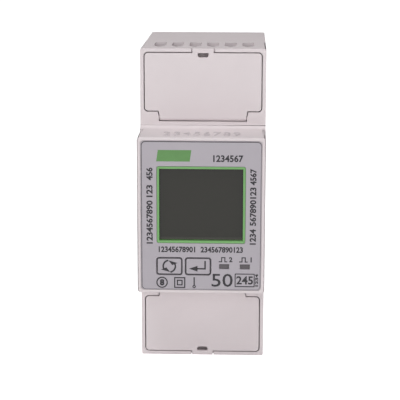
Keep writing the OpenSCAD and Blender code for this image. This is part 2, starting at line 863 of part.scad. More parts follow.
// The sliding clip that grips the rail's lower flange
module rail_clip() {
  half = clip_w / 2;
  color(part_black)
    difference() {
      along_x(-half, half)
        polygon([
          [clip_front_y, clip_end_z],
          [clip_front_y, -clip_top_z],
          [clip_front_y + 0.6, -clip_top_z],
          [clip_back_y, -clip_top_z - 2.4],
          [clip_back_y, clip_end_z]]);
      block([-spring_window_w / 2, clip_front_y - cut, spring_foot_z - boss_h - 0.3],
            [spring_window_w / 2, clip_back_y + cut, spring_top_z]);
      block([-2.6, clip_front_y - cut, clip_end_z + 1], [2.6, clip_back_y + cut, clip_end_z + 2.4]);
      for (side = [0, 1])
        mirror([side, 0, 0])
          block([half - 1.2, clip_front_y - cut, clip_end_z - cut],
                [half + cut, clip_back_y + cut, clip_end_z + 3.4]);
    }
}

// A coil spring along Z, as a round wire swept round a helix
module coil_spring(mean_r, wire, height, turns) {
  sides = 6;
  steps = 16;
  rings = turns * steps;
  rise = (height - wire) / rings;
  points = [
    for (k = [0:rings], j = [0:sides - 1])
      let(a = 360 * k / steps, b = 360 * j / sides, r = mean_r + wire / 2 * cos(b))
        [r * cos(a), r * sin(a), wire / 2 + k * rise + wire / 2 * sin(b)]];
  walls = [
    for (k = [0:rings - 1], j = [0:sides - 1])
      let(a = k * sides + j, b = k * sides + (j + 1) % sides)
        [a, b, b + sides, a + sides]];
  polyhedron(
    points = points,
    faces = concat(
      walls,
      [[for (j = [sides - 1:-1:0]) j]],
      [[for (j = [0:sides - 1]) rings * sides + j]]));
}

module clip_spring() {
  color(steel_grey)
    translate([0, spring_y, spring_foot_z])
      coil_spring((spring_d - spring_wire) / 2, spring_wire, spring_top_z - spring_foot_z, spring_turns);
}

module upper_flap() {
  color(body_grey)
    flap();
}

module lower_flap() {
  color(body_grey)
    mirror([0, 0, 1])
      flap();
}

module main_board() {
  color(board_green)
    block([-board_w / 2, main_board_y, main_board_bottom_z],
          [board_w / 2, main_board_y + board_t, main_board_top_z]);
}

// Pins between the display board and the main board, in two strips
module board_header() {
  strip_t = 2.5;
  front = display_board_y + board_t;
  for (x = [-1, 1])
    color(part_black)
      block([header_x - 1.3, x < 0 ? front : main_board_y - strip_t, header_z - 5.1],
            [header_x + 1.3, x < 0 ? front + strip_t : main_board_y, header_z + 5.1]);
  color(brass_yellow)
    for (k = [-1.5:1:1.5])
      block([header_x - 0.32, front + 0.2, header_z + k * 2.54 - 0.32],
            [header_x + 0.32, main_board_y - 0.2, header_z + k * 2.54 + 0.32]);
}

// A chip with its legs along two sides, standing off a board's face at y, towards -Y or +Y
module chip(w, h, t, legs, y, side) {
  gap = 0.15;
  pitch = 1.27;
  color(part_black)
    block([-w / 2, side < 0 ? y - t : y + gap, -h / 2],
          [w / 2, side < 0 ? y - gap : y + t, h / 2]);
  color(steel_grey)
    for (edge = [-1, 1], k = [0:legs - 1])
      translate([edge * (w / 2 + 0.4), 0, (k - (legs - 1) / 2) * pitch])
        block([-0.5, side < 0 ? y - t / 2 : y, -0.2], [0.5, side < 0 ? y : y + t / 2, 0.2]);
}

module metering_chip() {
  translate([parts_left_x + 7.55, 0, parts_low_z + 10])
    chip(7.5, 10.3, 2.4, 8, main_board_y, -1);
}

module processor_chip() {
  translate([board_w / 2 - 7.7, 0, 0])
    chip(10, 10, 1.6, 7, display_board_y + board_t, 1);
}

module bulk_capacitor() {
  length = 16;
  r = 4;
  color([0.15, 0.17, 0.25])
    translate([parts_right_x - r - 0.75, main_board_y - length, parts_low_z + 18])
      rotate([-90, 0, 0])
        rotate_extrude()
          difference() {
            square([r, length]);
            translate([r, length - 2])
              circle(0.5);
          }
}

module mains_capacitor() {
  color([0.85, 0.75, 0.25])
    block([film_cap_x, main_board_y - film_cap_t, parts_low_z + 19],
          [film_cap_x + film_cap_w, main_board_y, parts_high_z - 9.3]);
}

module varistor() {
  disc_d = 9;
  disc_t = 4;
  lead_len = 3 + disc_d / 2;
  color([0.15, 0.35, 0.65])
    translate([parts_right_x - disc_d / 2 - 2.5, main_board_y - lead_len, parts_low_z + 5]) {
      cylinder(d = disc_d, h = disc_t);
      for (x = [-2.5, 2.5])
        translate([x, 0, disc_t / 2])
          rotate([-90, 0, 0])
            cylinder(d = 0.8, h = lead_len);
    }
}

// A small transformer: a coil former inside a core of two E halves
module transformer() {
  low_x = film_cap_x + film_cap_w + 2.3;
  w = parts_right_x - 8.45 - low_x;
  window = 0.16 * w;
  h = 13;
  t = 12;
  leg = 3.4;
  place = [low_x + w / 2, main_board_y, parts_high_z - h / 2 - 3.3];
  color([0.20, 0.20, 0.21])
    translate(place - [0, 1.2, 0])
      difference() {
        block([-w / 2, -t, -h / 2], [w / 2, 0, h / 2]);
        for (side = [-1, 1])
          block([side * w / 4 - window, -t + leg, -h / 2 - cut], [side * w / 4 + window, -1.6, h / 2 + cut]);
      }
  color([0.75, 0.60, 0.20])
    translate(place)
      block([0.2 - w / 4 - window, -t + leg - 1, -h / 2 + 1], [w / 4 + window - 0.2, 0, h / 2 - 1]);
}

module optocouplers() {
  for (x = [-7.62, 2.54])
    translate([x, 0, opto_z])
      chip(6.4, 4.6, 3.4, 2, main_board_y, -1);
}

// A busbar's tongue through a clamp, up to the joining height
module bar_tongue(i, top_z) {
  block([mains_x(i) - bar_w / 2, y_at(bar_depth), mains_z - mains_cage_h / 2 - 0.1],
        [mains_x(i) + bar_w / 2, y_at(bar_depth + bar_t), top_z]);
}

module line_bar_in() {
  color(brass_yellow)
    bar_tongue(1, bar_top_z);
}

module line_bar_out() {
  color(brass_yellow)
    bar_tongue(2, bar_top_z);
}

module neutral_bar() {
  color(brass_yellow) {
    bar_tongue(3, bar_top_z);
    bar_tongue(4, bar_top_z);
    block([mains_x(3), y_at(bar_depth), bar_pad_z], [mains_x(4), y_at(bar_depth + bar_t), bar_top_z]);
  }
}

module current_shunt() {
  color([0.70, 0.45, 0.30])
    block([mains_x(1) + bar_w / 2, y_at(bar_depth), bar_pad_z + 0.4],
          [mains_x(2) - bar_w / 2, y_at(bar_depth + bar_t), bar_top_z - 0.2]);
}

module mains_block() {
  low_z = -end_inner_z;
  room_h = mains_cage_h / 2 + mains_play;
  color(block_grey)
    difference() {
      block([-mains_block_w / 2, y_at(floor_back), low_z],
            [mains_block_w / 2, y_at(mains_block_end), mains_block_top_z]);
      for (i = [1:mains_count]) {
        block([mains_x(i) - mains_cage_w / 2 - mains_play, y_at(mains_ledge_depth + mains_ledge_t),
               mains_z - room_h],
              [mains_x(i) + mains_cage_w / 2 + mains_play, y_at(mains_block_end) + cut, mains_z + room_h]);
        rod_y(mains_x(i), mains_z, mains_head_d + 0.5, y_at(floor_back) - cut, y_at(mains_ledge_depth));
        rod_y(mains_x(i), mains_z, mains_screw_d + 0.4, y_at(floor_back), y_at(mains_cage_end));
        along_z(low_z - cut, mains_z)
          mains_entry_outline(mains_x(i));
        block([mains_x(i) - bar_w / 2 - 0.1, y_at(bar_depth) - 0.1, mains_z],
              [mains_x(i) + bar_w / 2 + 0.1, y_at(bar_depth + bar_t) + 0.1, mains_block_top_z + cut]);
      }
    }
}

module aux_block() {
  room_h = aux_cage_h / 2 + aux_play;
  color(block_grey)
    difference() {
      block([-aux_block_w / 2, y_at(floor_back), aux_block_bottom_z],
            [aux_block_w / 2, y_at(aux_block_end), end_inner_z]);
      for (i = [1:aux_count]) {
        block([aux_x(i) - aux_cage_w / 2 - aux_play, y_at(aux_ledge_depth + aux_ledge_t), aux_z - room_h],
              [aux_x(i) + aux_cage_w / 2 + aux_play, y_at(aux_block_end) + cut, aux_z + room_h]);
        rod_y(aux_x(i), aux_z, aux_head_d + 0.3, y_at(floor_back) - cut, y_at(aux_ledge_depth));
        rod_y(aux_x(i), aux_z, aux_screw_d + 0.3, y_at(floor_back), y_at(aux_cage_end));
        translate([aux_x(i), 0])
          along_z(aux_funnel_z, end_inner_z + cut)
            entry_outline();
        block([aux_x(i) - entry_w / 2 + 0.2, y_at(contact_depth + contact_t + 0.1), aux_z],
              [aux_x(i) + entry_w / 2 - 0.2, y_at(aux_cage_inner_end - 0.1), aux_funnel_z + cut]);
        block([aux_x(i) - contact_w / 2 - 0.1, y_at(contact_depth) - 0.1, aux_block_bottom_z - cut],
              [aux_x(i) + contact_w / 2 + 0.1, y_at(contact_depth + contact_t) + 0.1, aux_z]);
      }
    }
}

// The signal contacts: a blade in each cage, bent back to the main board
module aux_contacts() {
  foot_z = aux_block_bottom_z - 1;
  color(brass_yellow)
    for (i = [1:aux_count])
      translate([aux_x(i), 0, 0])
        along_x(-contact_w / 2, contact_w / 2)
          polygon([
            [y_at(contact_depth), aux_z + aux_cage_h / 2],
            [y_at(contact_depth), foot_z],
            [main_board_y, foot_z],
            [main_board_y, foot_z + contact_t],
            [y_at(contact_depth + contact_t), foot_z + contact_t],
            [y_at(contact_depth + contact_t), aux_z + aux_cage_h / 2]]);
}

// A rising cage clamp: a threaded front wall joined to the wall that lifts the wire
module cage(x, z, w, h, depth, nut_t, end, rear_t, side_t, hole_d) {
  color(zinc_grey)
    difference() {
      block([x - w / 2, y_at(depth), z - h / 2], [x + w / 2, y_at(end), z + h / 2]);
      block([x - w / 2 + side_t, y_at(depth + nut_t), z - h / 2 - cut],
            [x + w / 2 - side_t, y_at(end - rear_t), z + h / 2 + cut]);
      rod_y(x, z, hole_d, y_at(depth) - cut, y_at(depth + nut_t) + cut);
    }
}

module mains_cage(i) {
  cage(mains_x(i), mains_z, mains_cage_w, mains_cage_h, mains_nut_depth, mains_nut_t,
       mains_cage_end, mains_cage_rear_t, mains_cage_side_t, mains_screw_d + 0.1);
}

module aux_cage(i) {
  cage(aux_x(i), aux_z, aux_cage_w, aux_cage_h, aux_nut_depth, aux_nut_t,
       aux_cage_end, aux_cage_rear_t, aux_cage_side_t, aux_screw_d + 0.1);
}

// A clamp screw: a head with a slot, a cross in the larger one, and its shank
module clamp_screw(x, z, head_d, head_t, head_depth, shank_d, tip_depth, slot_w, crossed) {
  color(zinc_grey)
    difference() {
      union() {
        rod_y(x, z, head_d, y_at(head_depth), y_at(head_depth + head_t));
        rod_y(x, z, shank_d, y_at(head_depth + head_t / 2), y_at(tip_depth));
      }
      block([x - head_d, y_at(head_depth) - cut, z - slot_w / 2],
            [x + head_d, y_at(head_depth + head_t / 2), z + slot_w / 2]);
      if (crossed)
        block([x - slot_w * 0.7, y_at(head_depth) - cut, z - head_d * 0.32],
              [x + slot_w * 0.7, y_at(head_depth + head_t * 0.6), z + head_d * 0.32]);
    }
}

module mains_screw(i) {
  clamp_screw(mains_x(i), mains_z, mains_head_d, mains_head_t, mains_head_depth,
              mains_screw_d, bar_depth - screw_gap, 1.0, true);
}

module aux_screw(i) {
  clamp_screw(aux_x(i), aux_z, aux_head_d, aux_head_t, aux_head_depth,
              aux_screw_d, contact_depth - screw_gap, 0.7, false);
}

base_housing();
front_housing();
front_film();
display_frame();
lcd_glass();
lcd_backlight();
contact_strip();
display_board();
display_screws();
key_cap(scroll_key_x);  // scroll_key
key_cap(enter_key_x);  // enter_key
switch_plunger(scroll_key_x);  // scroll_plunger
switch_plunger(enter_key_x);  // enter_plunger
switch_body(scroll_key_x);  // scroll_switch
switch_body(enter_key_x);  // enter_switch
pulse_led(led_1_x);  // pulse_led_1
pulse_led(led_2_x);  // pulse_led_2
upper_flap();
lower_flap();
rail_clip();
clip_spring();
main_board();
board_header();
metering_chip();
processor_chip();
bulk_capacitor();
mains_capacitor();
varistor();
transformer();
optocouplers();
current_shunt();
line_bar_in();
line_bar_out();
neutral_bar();
mains_block();
aux_block();
aux_contacts();
for (i = [1:mains_count])
  mains_cage(i);
for (i = [1:mains_count])
  mains_screw(i);
for (i = [1:aux_count])
  aux_cage(i);
for (i = [1:aux_count])
  aux_screw(i);
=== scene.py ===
"""Looks of a two-module rail energy meter: finishes, printed marks, light and camera.

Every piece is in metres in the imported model's frame: the rail seat's middle is the
origin, +Y goes towards the panel and +Z up. The sizes in the classes are millimetres.
"""

import json
import logging
import math
from dataclasses import dataclass, field
from enum import Enum
from typing import Any, Iterable, Mapping, Sequence

import bmesh
import bpy
import numpy as np
from mathutils import Matrix, Vector


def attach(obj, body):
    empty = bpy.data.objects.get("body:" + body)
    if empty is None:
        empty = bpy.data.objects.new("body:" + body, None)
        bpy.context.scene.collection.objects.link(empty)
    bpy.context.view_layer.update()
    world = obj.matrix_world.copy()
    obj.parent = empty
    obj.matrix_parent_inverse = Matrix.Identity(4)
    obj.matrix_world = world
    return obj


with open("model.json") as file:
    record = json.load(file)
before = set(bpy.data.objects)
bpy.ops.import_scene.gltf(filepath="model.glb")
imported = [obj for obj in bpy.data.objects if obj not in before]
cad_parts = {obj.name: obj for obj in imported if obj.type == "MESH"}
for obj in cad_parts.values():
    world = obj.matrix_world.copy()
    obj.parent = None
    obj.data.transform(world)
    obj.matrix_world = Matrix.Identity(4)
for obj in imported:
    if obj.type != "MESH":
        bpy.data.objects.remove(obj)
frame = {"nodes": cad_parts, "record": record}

Pair = tuple[float, float]
Triple = tuple[float, float, float]
Tree = bpy.types.NodeTree
Socket = bpy.types.NodeSocket

LOG = logging.getLogger("meter")
MM = 0.001
NOSE_ROOT_Y = -44.0
"""Where the nose rises from the front, in millimetres."""
FILM_Y = -58.6
"""Front of the film, the keys and the nose, in millimetres."""
SCROLL_CENTRE: Pair = (-8.82, -14.35)
"""Middle of the scroll key, across and up."""
ENTER_CENTRE: Pair = (-0.8, -14.35)
"""Middle of the enter key, across and up."""
DIGIT_SHARE = 0.7
"""Height of a digit as a share of the type size, in Blender's own typeface."""
DIGIT_STEPS = 3
"""Steps of each curve in a digit's outline."""
MERGE_M = 1e-8
"""Points of one artwork that are closer than this many metres become one."""
NOISE_SPAN = {"From Min": 0.3, "From Max": 0.7}
"""Between these values lies nearly all of a noise."""
SHARE, FIRST, SECOND, MIXED = 0, 6, 7, 2
"""Sockets of a Mix node of colours: its share, its two colours and its result."""
WHITE = (1.0, 1.0, 1.0, 1.0)

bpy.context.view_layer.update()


class Body(Enum):
    """The bodies that new pieces ride on."""

    HOUSING = "housing"
    SCROLL_KEY = "scroll_key"
    ENTER_KEY = "enter_key"


class Slot(Enum):
    """The record's material slots."""

    HOUSING = "housing_plastic"
    BLOCK = "block_plastic"
    FILM = "film"
    GREEN = "green_plastic"
    LCD = "lcd"
    WHITE = "white_plastic"
    BLACK = "black_plastic"
    SMOKED = "smoked_plastic"
    BOARD = "board"
    STEEL = "steel"
    ZINC = "zinc_steel"
    BRASS = "brass"
    SHUNT = "shunt_alloy"
    SLEEVE = "capacitor_sleeve"
    CASE = "capacitor_case"
    VARISTOR = "varistor_coat"
    FERRITE = "ferrite"


def linear(colour: str) -> tuple[float, float, float, float]:
    """Turns an sRGB hex colour into linear light.

    Args:
        colour: Six hex digits after a hash sign.

    Returns:
        Red, green, blue and an alpha of 1, in linear light.
    """
    parts = [int(colour[i : i + 2], 16) / 255 for i in (1, 3, 5)]
    light = [p / 12.92 if p <= 0.04045 else ((p + 0.055) / 1.055) ** 2.4 for p in parts]
    return (light[0], light[1], light[2], 1.0)


def add_node(
    tree: Tree,
    kind: str,
    settings: Mapping[str, Any] | None = None,
    inputs: Mapping[str | int, Any] | None = None,
) -> bpy.types.Node:
    """Adds one shader node with its settings and its inputs.

    Args:
        tree: The node tree that takes it.
        kind: The node's Blender type.
        settings: Attributes of the node and their values.
        inputs: Input sockets by name or number, each with a value or the socket that feeds it.

    Returns:
        The new node.
    """
    node = tree.nodes.new(kind)
    for name, value in (settings or {}).items():
        setattr(node, name, value)
    for name, value in (inputs or {}).items():
        if isinstance(value, bpy.types.NodeSocket):
            tree.links.new(value, node.inputs[name])
        else:
            node.inputs[name].default_value = value
    return node


@dataclass(frozen=True)
class Finish:
    """A surface finish: a mottled colour, roughness that varies, and a fine relief.

    The noise of the mottling is coarse, that of the roughness finer, and that of the relief
    the finest. Every size is in millimetres.
    """

    name: str
    colour: str
    roughness: float = 0.5
    metallic: float = 0.0
    ior: float = 1.5
    mottle: float = 0.03
    mottle_mm: float = 9.0
    rough_swing: float = 0.06
    rough_mm: float = 2.5
    relief_mm: float = 0.01
    grain_mm: float = 0.4
    stretch: Triple = (1.0, 1.0, 1.0)

    def shades(self) -> tuple[list[float], list[float]]:
        """Works out the two shades that the mottling runs between.

        Returns:
            The darkest and the lightest shade, in linear light.
        """
        base = linear(self.colour)[:3]
        dark = [c * (1 - self.mottle) for c in base] + [1.0]
        light = [min(1.0, c * (1 + self.mottle)) for c in base] + [1.0]
        return dark, light

    def pattern(self, tree: Tree, place: Socket, base: Socket) -> Socket:
        """The place for a finish's own drawing over its mottled colour.

        Args:
            tree: The material's node tree.
            place: Object coordinates.
            base: The mottled colour.

        Returns:
            The colour that the surface takes.
        """
        return base

    def build(self) -> bpy.types.Material:
        """Makes the material from Object coordinates, so that grain keeps its real size.

        Returns:
            The finished material.
        """
        material = bpy.data.materials.new(self.name)
        material.use_nodes = True
        tree = material.node_tree
        tree.nodes.clear()
        place = add_node(tree, "ShaderNodeTexCoord").outputs["Object"]
        scale = [s / MM for s in self.stretch]
        mapped = add_node(tree, "ShaderNodeMapping", inputs={"Vector": place, "Scale": scale})
        mottle, wear, grain = (
            add_node(
                tree,
                "ShaderNodeTexNoise",
                inputs={
                    "Vector": mapped.outputs["Vector"],
                    "Scale": 1 / size,
                    "Detail": detail,
                    "Roughness": decay,
                },
            ).outputs["Fac"]
            for size, detail, decay in (
                (self.mottle_mm, 3.0, 0.55),
                (self.rough_mm, 4.0, 0.6),
                (self.grain_mm, 2.0, 0.5),
            )
        )
        share = add_node(tree, "ShaderNodeMapRange", inputs={"Value": mottle, **NOISE_SPAN})
        dark, light = self.shades()
        base = add_node(
            tree,
            "ShaderNodeMix",
            {"data_type": "RGBA"},
            {SHARE: share.outputs["Result"], FIRST: dark, SECOND: light},
        )
        rough = add_node(
            tree,
            "ShaderNodeMapRange",
            inputs={
                "Value": wear,
                **NOISE_SPAN,
                "To Min": max(0.02, self.roughness - self.rough_swing),
                "To Max": min(1.0, self.roughness + self.rough_swing),
            },
        )
        bump = add_node(
            tree,
            "ShaderNodeBump",
            inputs={"Height": grain, "Distance": self.relief_mm * MM, "Strength": 1.0},
        )
        shader = add_node(
            tree,
            "ShaderNodeBsdfPrincipled",
            inputs={
                "Base Color": self.pattern(tree, place, base.outputs[MIXED]),
                "Roughness": rough.outputs["Result"],
                "Metallic": self.metallic,
                "IOR": self.ior,
                "Normal": bump.outputs["Normal"],
            },
        )
        add_node(tree, "ShaderNodeOutputMaterial", inputs={"Surface": shader.outputs["BSDF"]})
        return material


@dataclass(frozen=True)
class TracedBoard(Finish):
    """Glass-fibre board under green solder mask: copper tracks show as lighter lines."""

    track_mm: float = 1.6
    track_rim: Pair = (0.46, 0.5)
    track_colour: str = "#3E8A5E"

    def pattern(self, tree: Tree, place: Socket, base: Socket) -> Socket:
        """Draws tracks as the thin edges between the cells of a square cell pattern.

        Args:
            tree: The material's node tree.
            place: Object coordinates.
            base: The mottled colour of the mask.

        Returns:
            The colour of mask and tracks.
        """
        scaled = add_node(
            tree, "ShaderNodeMapping", inputs={"Vector": place, "Scale": [1 / MM] * 3}
        )
        cells = add_node(
            tree,
            "ShaderNodeTexVoronoi",
            {"feature": "F1", "distance": "CHEBYCHEV"},
            {"Vector": scaled.outputs["Vector"], "Scale": 1 / self.track_mm},
        )
        low, high = self.track_rim
        line = add_node(
            tree,
            "ShaderNodeMapRange",
            inputs={"Value": cells.outputs["Distance"], "From Min": low, "From Max": high},
        )
        return add_node(
            tree,
            "ShaderNodeMix",
            {"data_type": "RGBA"},
            {SHARE: line.outputs["Result"], FIRST: base, SECOND: linear(self.track_colour)},
        ).outputs[MIXED]


@dataclass(frozen=True)
class DarkDisplay(Finish):
    """Polariser over a liquid crystal cell that is off: dark, and a little lighter below, where
    light is painted into its colour.
    """

    # Between these heights the display takes painted light: a lighter colour mixed in by this
    # share.
    strip_top: float = -6.0
    strip_bottom: float = -7.1
    painted_light_share: float = 0.35
    painted_light_colour: str = "#7A7970"

    def pattern(self, tree: Tree, place: Socket, base: Socket) -> Socket:
        """Paints light on the lowest strip, in place of light from the room that reaches the
        reflector.

        Args:
            tree: The material's node tree.
            place: Object coordinates.
            base: The mottled colour of the polariser.

        Returns:
            The colour of the display.
        """
        split = add_node(tree, "ShaderNodeSeparateXYZ", inputs={"Vector": place})
        edge = add_node(
            tree,
            "ShaderNodeMapRange",
            {"interpolation_type": "SMOOTHSTEP"},
            {
                "Value": split.outputs["Z"],
                "From Min": self.strip_top * MM,
                "From Max": self.strip_bottom * MM,
                "To Min": 0.0,
                "To Max": self.painted_light_share,
            },
        )
        # Mixes painted light into the lowest strip of the display.
        return add_node(
            tree,
            "ShaderNodeMix",
            {"data_type": "RGBA"},
            {SHARE: edge.outputs["Result"], FIRST: base, SECOND: linear(self.painted_light_colour)},
        ).outputs[MIXED]


FINISHES: dict[Slot, Finish] = {
    # Polycarbonate moulded in a spark-eroded tool: an even fine grain that keeps it matt.
    Slot.HOUSING: Finish(
        "moulded_polycarbonate",
        "#DAD1D3",
        roughness=0.8,
        mottle=0.012,
        relief_mm=0.012,
        grain_mm=0.35,
    ),
    # Glass-filled polyamide: duller and a little streaky.
    Slot.BLOCK: Finish(
        "glass_filled_polyamide",
        "#CFCACC",
        roughness=0.6,
        ior=1.53,
        mottle=0.04,
        stretch=(1.0, 1.0, 0.3),
    ),
    # Polyester film with a fine velvet texture, tinted behind: an even silky grey.
    Slot.FILM: Finish(
        "textured_polyester_film",
        "#A6A0A7",
        roughness=0.42,
        ior=1.6,
        mottle=0.01,
        relief_mm=0.006,
        grain_mm=0.22,
    ),
    # ABS moulded in a smooth tool and dyed green: clean soft highlights.
    Slot.GREEN: Finish(
        "moulded_abs_green",
        "#6AA05C",
        roughness=0.35,
        ior=1.54,
        mottle=0.02,
        relief_mm=0.004,
    ),
    # Polariser film with an anti-reflection coat over glass: flat, dark and hardly mirroring.
    Slot.LCD: DarkDisplay(
        "polariser_glass",
        "#272621",
        roughness=0.18,
        ior=1.36,
        mottle=0.02,
        mottle_mm=14.0,
        rough_swing=0.02,
        relief_mm=0.001,
    ),
    # Acrylic light guide: milky white and even.
    Slot.WHITE: Finish("diffusing_acrylic", "#E8E8E4", roughness=0.35, ior=1.49, mottle=0.01),
    # Moulded black polyamide: half matt, with a faint flow pattern.
    Slot.BLACK: Finish("moulded_black_polyamide", "#26252A", ior=1.53, mottle=0.06),
    # Smoked acrylic of the pulse lights: smooth and glossy.
    Slot.SMOKED: Finish("smoked_acrylic", "#4F494D", roughness=0.2, ior=1.49, relief_mm=0.001),
    # Solder mask on glass fibre: a satin green coat that the tracks shine through.
    Slot.BOARD: TracedBoard("solder_mask_on_glass_fibre", "#1F5E3A", roughness=0.35, mottle=0.05),
    # Tinned and rolled steel sheet: streaks along the way that it was rolled.
    Slot.STEEL: Finish(
        "rolled_steel",
        "#B9BABD",
        roughness=0.32,
        metallic=1.0,
        mottle=0.05,
        stretch=(1.0, 1.0, 0.12),
    ),
    # Bright zinc plate on turned and stamped steel: bluish, with small spangles.
    Slot.ZINC: Finish(
        "zinc_plated_steel",
        "#C2C4C8",
        roughness=0.36,
        metallic=1.0,
        mottle=0.06,
        mottle_mm=1.5,
        relief_mm=0.006,
    ),
    # Brass stamped from rolled strip: streaks along the strip.
    Slot.BRASS: Finish(
        "stamped_brass",
        "#C8A763",
        roughness=0.34,
        metallic=1.0,
        mottle=0.06,
        stretch=(1.0, 1.0, 0.15),
    ),
    # Manganin, a copper-manganese alloy: blotches of heat colour from the welds.
    Slot.SHUNT: Finish(
        "manganin",
        "#A9785A",
        roughness=0.4,
        metallic=1.0,
        mottle=0.12,
        mottle_mm=2.0,
    ),
    # Sleeve of PVC shrunk on a can: smooth, dark blue and half glossy.
    Slot.SLEEVE: Finish("shrunk_pvc_sleeve", "#2A3046", roughness=0.4, ior=1.53, mottle=0.05),
    # Polyester case filled with epoxy: plain yellow with a soft gloss.
    Slot.CASE: Finish("epoxy_filled_case", "#D9BE45", roughness=0.45, ior=1.53, mottle=0.04),
    # Epoxy powder coat from dipping: glossy and slightly lumpy.
    Slot.VARISTOR: Finish(
        "dipped_epoxy",
        "#2C5AA0",
        roughness=0.35,
        ior=1.53,
        mottle=0.06,
        relief_mm=0.03,
        grain_mm=1.2,
    ),
    # Sintered ferrite: dull dark grey with a gritty skin.
    Slot.FERRITE: Finish(
        "sintered_ferrite",
        "#38383A",
        roughness=0.75,
        ior=1.6,
        mottle=0.1,
        mottle_mm=1.0,
        relief_mm=0.02,
    ),
}

# Screen-printed ink: nearly black and half matt, with the faint unevenness of the mesh. It also
# draws the painted shadow in the gap round the film.
PRINT_INK_AND_GAP_SHADE = Finish("screen_print_ink", "#17131A", mottle=0.06, mottle_mm=2.0, relief_mm=0.004)
# The same kind of ink in green.
GREEN_INK = Finish(
    "green_screen_print_ink",
    "#57854A",
    roughness=0.45,
    mottle=0.05,
    mottle_mm=2.0,
    relief_mm=0.004,
)
# Polycarbonate of the raised shelf digits with painted shade: a little darker than the face round
# it, in place of the shadows round the marks.
PAINTED_SHADE_RELIEF = Finish(
    "polycarbonate_with_painted_shade",
    "#C6BEC1",
    roughness=0.6,
    ior=1.58,
    mottle=0.012,
    relief_mm=0.012,
)


@dataclass
class Workshop:
    """Shared tools: materials made once, and mesh pieces that ride on a body."""

    materials: dict[str, bpy.types.Material] = field(default_factory=dict)
    made: int = 0

    def material(self, finish: Finish) -> bpy.types.Material:
        """Finds a finish's material, and makes it when it is asked for first.

        Args:
            finish: The finish.

        Returns:
            Its material.
        """
        if finish.name not in self.materials:
            self.materials[finish.name] = finish.build()
        return self.materials[finish.name]

    def piece(
        self,
        name: str,
        points: np.ndarray,
        faces: Sequence[Sequence[int]],
        finish: Finish,
        body: Body = Body.HOUSING,
    ) -> bpy.types.Object:
        """Makes one mesh piece in place, with its material and body.

        Args:
            name: The piece's name.
            points: Corner places in millimetres, one row each.
            faces: Corner numbers of each face.
            finish: Its finish.
            body: The body that it rides on.

        Returns:
            The new object.
        """
        mesh = bpy.data.meshes.new(name)
        mesh.from_pydata((points * MM).tolist(), [], faces)
        mesh.validate()
        mesh.update()
        obj = bpy.data.objects.new(name, mesh)
        bpy.context.scene.collection.objects.link(obj)
        mesh.materials.append(self.material(finish))
        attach(obj, body.value)
        self.made += 1
        LOG.info("%s: %d faces on %s", name, len(mesh.polygons), body.value)
        return obj


def on_circle(centre: Pair, radius: float, degrees: np.ndarray | float) -> np.ndarray:
    """Finds points on a circle: its centre plus the radius times cosine and sine.

    Args:
        centre: The circle's middle.
        radius: Its radius.
        degrees: The angle of each point, counter-clockwise from the right.

    Returns:
        The points, one row each, or one point for one angle.
    """
    angle = np.radians(degrees)
    return np.array(centre) + radius * np.stack([np.cos(angle), np.sin(angle)], axis=-1)


def circle_loop(centre: Pair, radius: float, steps: int = 40) -> np.ndarray:
    """A whole circle as one loop, counter-clockwise."""
    return on_circle(centre, radius, np.linspace(0.0, 360.0, steps, endpoint=False))


def round_loop(
    centre: Pair, width: float, height: float, radius: float, steps: int = 6
) -> np.ndarray:
    """Draws a rectangle with round corners as one loop, counter-clockwise.

    Each corner is a quarter circle about a point one radius in from both sides.

    Args:
        centre: Its middle.
        width: Its width.
        height: Its height.
        radius: Its corner radius.
        steps: Steps in a corner.

    Returns:
        The loop's points.
    """
    angle = np.linspace(0.0, 90.0, steps + 1)
    x, y = width / 2 - radius, height / 2 - radius
    corners = ((x, y), (-x, y), (-x, -y), (x, -y))
    return np.concatenate(
        [
            on_circle((centre[0] + dx, centre[1] + dy), radius, angle + 90.0 * k)
            for k, (dx, dy) in enumerate(corners)
        ]
    )


@dataclass(frozen=True)
class Digits:
    """A row of plain digits: its middle, height, turn in degrees and growth of the outline.

    The row has its natural width times wide, or the length where one is given.
    """

    text: str
    centre: Pair
    height: float
    length: float | None = None
    turn: float = 0.0
    bold: float = 0.08
    wide: float = 1.0


